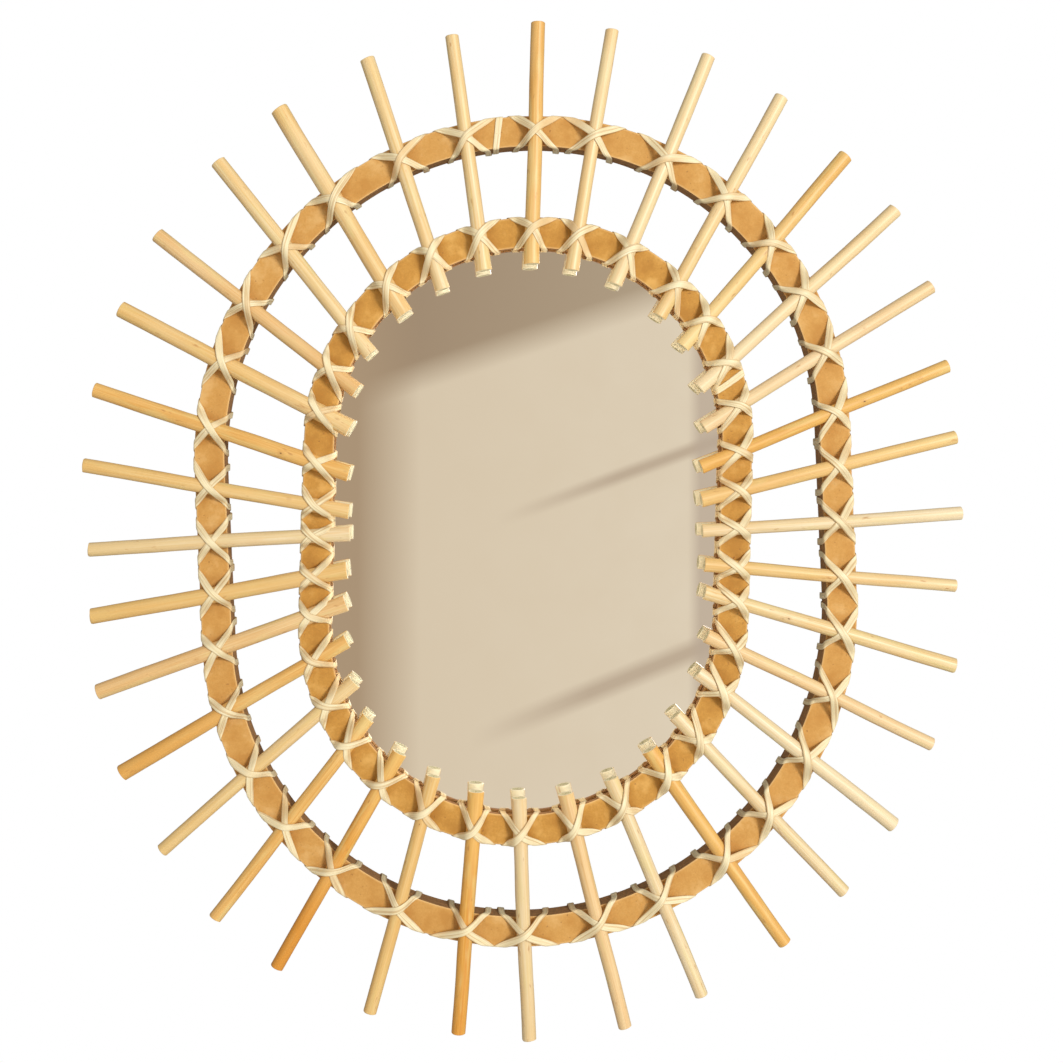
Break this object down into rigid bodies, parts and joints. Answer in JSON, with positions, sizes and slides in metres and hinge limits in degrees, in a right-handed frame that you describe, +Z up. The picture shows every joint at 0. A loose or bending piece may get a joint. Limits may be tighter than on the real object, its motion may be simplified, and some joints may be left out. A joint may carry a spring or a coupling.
{
  "type": "wall mirror",
  "caption": "Oval wall mirror: a pane behind concentric flat board hoops, with peeled willow sticks bound across them like sun rays, and a saw-tooth hanger at the back.",
  "frame": {"origin": "on the wall, in the middle of the rear face of the saw-tooth hanger", "axes": "+Z up the mirror's height, +X to the right of someone facing the mirror, +Y into the wall, so the front faces -Y"},
  "size_m": [0.5597, 0.0325, 0.6474],
  "materials": {
    "willow_pale": "peeled willow, bleached, satin",
    "willow_cream": "peeled willow, cream, satin",
    "willow_straw": "peeled willow, straw yellow, satin",
    "willow_peach": "peeled willow, pinkish tan, satin",
    "willow_honey": "peeled willow, honey, satin",
    "willow_amber": "peeled willow, toasted orange, satin",
    "hoop_board": "fibreboard, tan face, darker sawn edge, matt",
    "peel": "flat willow peel, pale, fibrous",
    "mirror": "silvered float glass, clear",
    "backing": "hardboard, brown, matt",
    "hanger_steel": "zinc-plated steel"
  },
  "bodies": {
    "root": {"outer_hoop": "hoop_board", "inner_hoop": "hoop_board", "stick_01": "willow_honey", "stick_02": "willow_straw", "stick_03": "willow_straw", "stick_04": "willow_straw", "stick_05": "willow_honey", "stick_06": "willow_straw", "stick_07": "willow_peach", "stick_08": "willow_amber", "stick_09": "willow_honey", "stick_10": "willow_pale", "stick_11": "willow_straw", "stick_12": "willow_cream", "stick_13": "willow_peach", "stick_14": "willow_pale", "stick_15": "willow_pale", "stick_16": "willow_amber", "stick_17": "willow_pale", "stick_18": "willow_peach", "stick_19": "willow_pale", "stick_20": "willow_amber", "stick_21": "willow_straw", "stick_22": "willow_amber", "stick_23": "willow_honey", "stick_24": "willow_cream", "stick_25": "willow_honey", "stick_26": "willow_peach", "stick_27": "willow_straw", "stick_28": "willow_pale", "stick_29": "willow_straw", "stick_30": "willow_honey", "stick_31": "willow_straw", "stick_32": "willow_peach", "stick_33": "willow_cream", "stick_34": "willow_straw", "stick_35": "willow_cream", "stick_36": "willow_cream", "outer_lashing_first": "peel", "outer_lashing_second": "peel", "inner_lashing_first": "peel", "inner_lashing_second": "peel", "mirror_glass": "mirror", "backing_board": "backing", "hanger_plate": "hanger_steel", "hanger_pin_left": "hanger_steel", "hanger_pin_right": "hanger_steel"}
  },
  "joints": []
}
